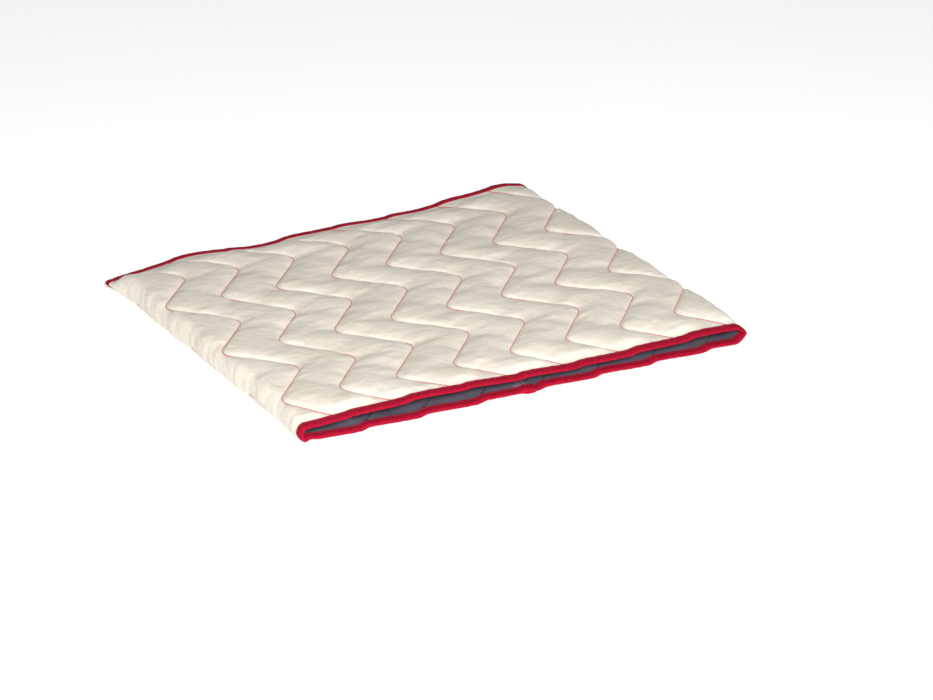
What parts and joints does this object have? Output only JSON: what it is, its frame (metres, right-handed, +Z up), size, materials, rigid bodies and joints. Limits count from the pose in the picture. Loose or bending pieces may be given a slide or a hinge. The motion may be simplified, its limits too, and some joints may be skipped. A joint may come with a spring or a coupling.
{
  "type": "quilted fire blanket sleeve",
  "caption": "Padded, zigzag-quilted fabric sleeve lying flat, open at both ends, with binding tape round each mouth and a grey lining inside.",
  "frame": {"origin": "middle of the footprint, on the surface the sleeve lies on", "axes": "+X from the left fold to the right fold, +Y from the front mouth to the rear mouth, +Z up"},
  "size_m": [0.7952, 0.675, 0.0386],
  "materials": {
    "cream_canvas": "matt woven canvas",
    "wadding_fleece": "matt fibre wadding",
    "lining_cloth": "matt dark grey woven cloth",
    "seam_tape_cloth": "matt dark grey tape",
    "seam_needle_thread": "matt spun thread",
    "seam_bobbin_thread": "matt spun thread",
    "binding_tape": "matt red woven tape",
    "binding_thread": "matt spun thread",
    "quilting_thread": "matt spun thread",
    "quilting_bobbin_thread": "matt spun thread"
  },
  "bodies": {
    "root": {"outer_cover": "cream_canvas", "wadding": "wadding_fleece", "lining": "lining_cloth", "seam_tape": "seam_tape_cloth", "seam_needle_thread_left": "seam_needle_thread", "seam_needle_thread_right": "seam_needle_thread", "seam_bobbin_thread_left": "seam_bobbin_thread", "seam_bobbin_thread_right": "seam_bobbin_thread", "front_binding": "binding_tape", "front_binding_needle_thread": "binding_thread", "front_binding_bobbin_thread": "binding_thread", "rear_binding": "binding_tape", "rear_binding_needle_thread": "binding_thread", "rear_binding_bobbin_thread": "binding_thread", "quilting_thread_01": "quilting_thread", "quilting_bobbin_01": "quilting_bobbin_thread", "quilting_thread_02": "quilting_thread", "quilting_bobbin_02": "quilting_bobbin_thread", "quilting_thread_03": "quilting_thread", "quilting_bobbin_03": "quilting_bobbin_thread", "quilting_thread_04": "quilting_thread", "quilting_bobbin_04": "quilting_bobbin_thread", "quilting_thread_05": "quilting_thread", "quilting_bobbin_05": "quilting_bobbin_thread", "quilting_thread_06": "quilting_thread", "quilting_bobbin_06": "quilting_bobbin_thread", "quilting_thread_07": "quilting_thread", "quilting_bobbin_07": "quilting_bobbin_thread", "quilting_thread_08": "quilting_thread", "quilting_bobbin_08": "quilting_bobbin_thread", "quilting_thread_09": "quilting_thread", "quilting_bobbin_09": "quilting_bobbin_thread", "quilting_thread_10": "quilting_thread", "quilting_bobbin_10": "quilting_bobbin_thread", "quilting_thread_11": "quilting_thread", "quilting_bobbin_11": "quilting_bobbin_thread", "quilting_thread_12": "quilting_thread", "quilting_bobbin_12": "quilting_bobbin_thread", "quilting_thread_13": "quilting_thread", "quilting_bobbin_13": "quilting_bobbin_thread", "quilting_thread_14": "quilting_thread", "quilting_bobbin_14": "quilting_bobbin_thread", "quilting_thread_15": "quilting_thread", "quilting_bobbin_15": "quilting_bobbin_thread", "quilting_thread_16": "quilting_thread", "quilting_bobbin_16": "quilting_bobbin_thread"}
  },
  "joints": []
}
